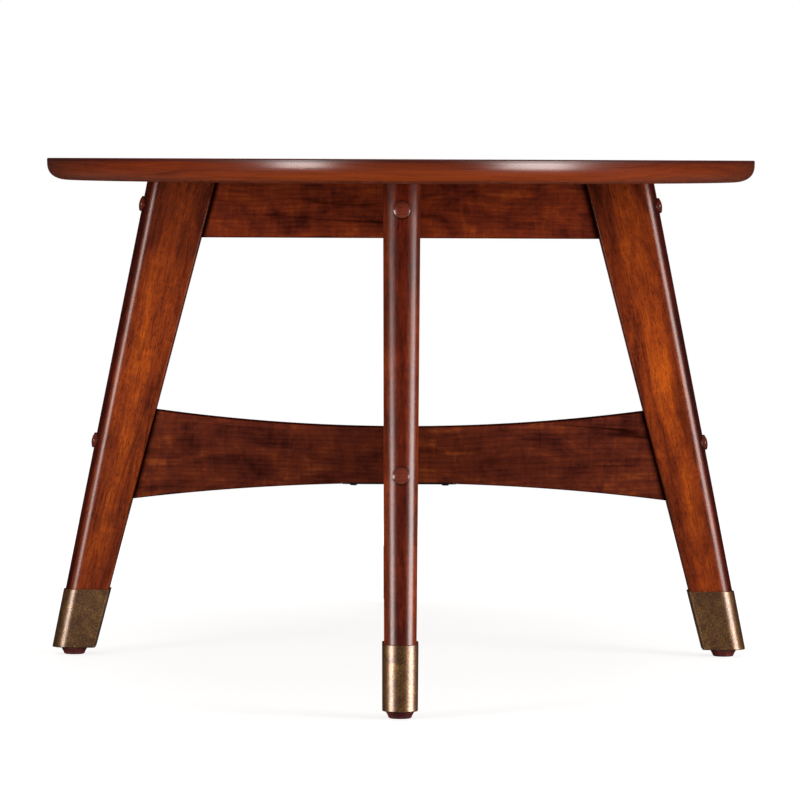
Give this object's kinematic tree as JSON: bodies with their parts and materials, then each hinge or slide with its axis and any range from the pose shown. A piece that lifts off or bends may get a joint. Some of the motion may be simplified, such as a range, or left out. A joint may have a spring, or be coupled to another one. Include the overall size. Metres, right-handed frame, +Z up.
{
  "type": "oval coffee table",
  "caption": "Oval coffee table with a rounded wooden rim, splayed tapered legs in brass cups, crossed aprons and waisted cross stretchers.",
  "frame": {"origin": "on the floor, under the middle of the top", "axes": "+X to the right across the table's width, +Y along its length away from the viewer, +Z up"},
  "size_m": [0.61, 1.219, 0.432],
  "materials": {
    "top_wood": "satin lacquer, red-brown stain",
    "leg_wood": "satin lacquer, red-brown stain",
    "board_wood": "satin lacquer, dark red-brown stain",
    "button_wood": "gloss lacquer, red-brown stain",
    "dowel_wood": "bare",
    "antique_brass": "antiqued satin",
    "maroon_plastic": "moulded satin",
    "zinc_steel": "zinc plated",
    "black_steel": "black"
  },
  "bodies": {
    "frame": {"table_top": "top_wood", "cross_apron": "board_wood", "long_apron": "board_wood", "cross_stretcher": "board_wood", "long_stretcher": "board_wood", "apron_bolts": "zinc_steel", "stretcher_bolts": "zinc_steel", "bolt_washers": "zinc_steel", "apron_inserts": "zinc_steel", "stretcher_inserts": "zinc_steel", "apron_dowels": "dowel_wood", "stretcher_dowels": "dowel_wood", "top_inserts": "zinc_steel", "top_screws": "zinc_steel", "cross_plate": "black_steel", "plate_screws": "black_steel", "leg_left": "leg_wood", "ferrule_left": "antique_brass", "leveler_insert_left": "zinc_steel", "button_upper_left": "button_wood", "button_lower_left": "button_wood", "leg_right": "leg_wood", "ferrule_right": "antique_brass", "leveler_insert_right": "zinc_steel", "button_upper_right": "button_wood", "button_lower_right": "button_wood", "leg_front": "leg_wood", "ferrule_front": "antique_brass", "leveler_insert_front": "zinc_steel", "button_upper_front": "button_wood", "button_lower_front": "button_wood", "leg_back": "leg_wood", "ferrule_back": "antique_brass", "leveler_insert_back": "zinc_steel", "button_upper_back": "button_wood", "button_lower_back": "button_wood"},
    "leveler_left": {"leveler_foot_left": "maroon_plastic", "leveler_stud_left": "zinc_steel"},
    "leveler_right": {"leveler_foot_right": "maroon_plastic", "leveler_stud_right": "zinc_steel"},
    "leveler_front": {"leveler_foot_front": "maroon_plastic", "leveler_stud_front": "zinc_steel"},
    "leveler_back": {"leveler_foot_back": "maroon_plastic", "leveler_stud_back": "zinc_steel"}
  },
  "joints": [
    {"name": "leveler_left_screw_out", "type": "slide", "parent": "frame", "child": "leveler_left", "axis": [0, 0, -1], "range_m": [0, 0.01]},
    {"name": "leveler_right_screw_out", "type": "slide", "parent": "frame", "child": "leveler_right", "axis": [0, 0, -1], "range_m": [0, 0.01]},
    {"name": "leveler_front_screw_out", "type": "slide", "parent": "frame", "child": "leveler_front", "axis": [0, 0, -1], "range_m": [0, 0.01]},
    {"name": "leveler_back_screw_out", "type": "slide", "parent": "frame", "child": "leveler_back", "axis": [0, 0, -1], "range_m": [0, 0.01]}
  ]
}
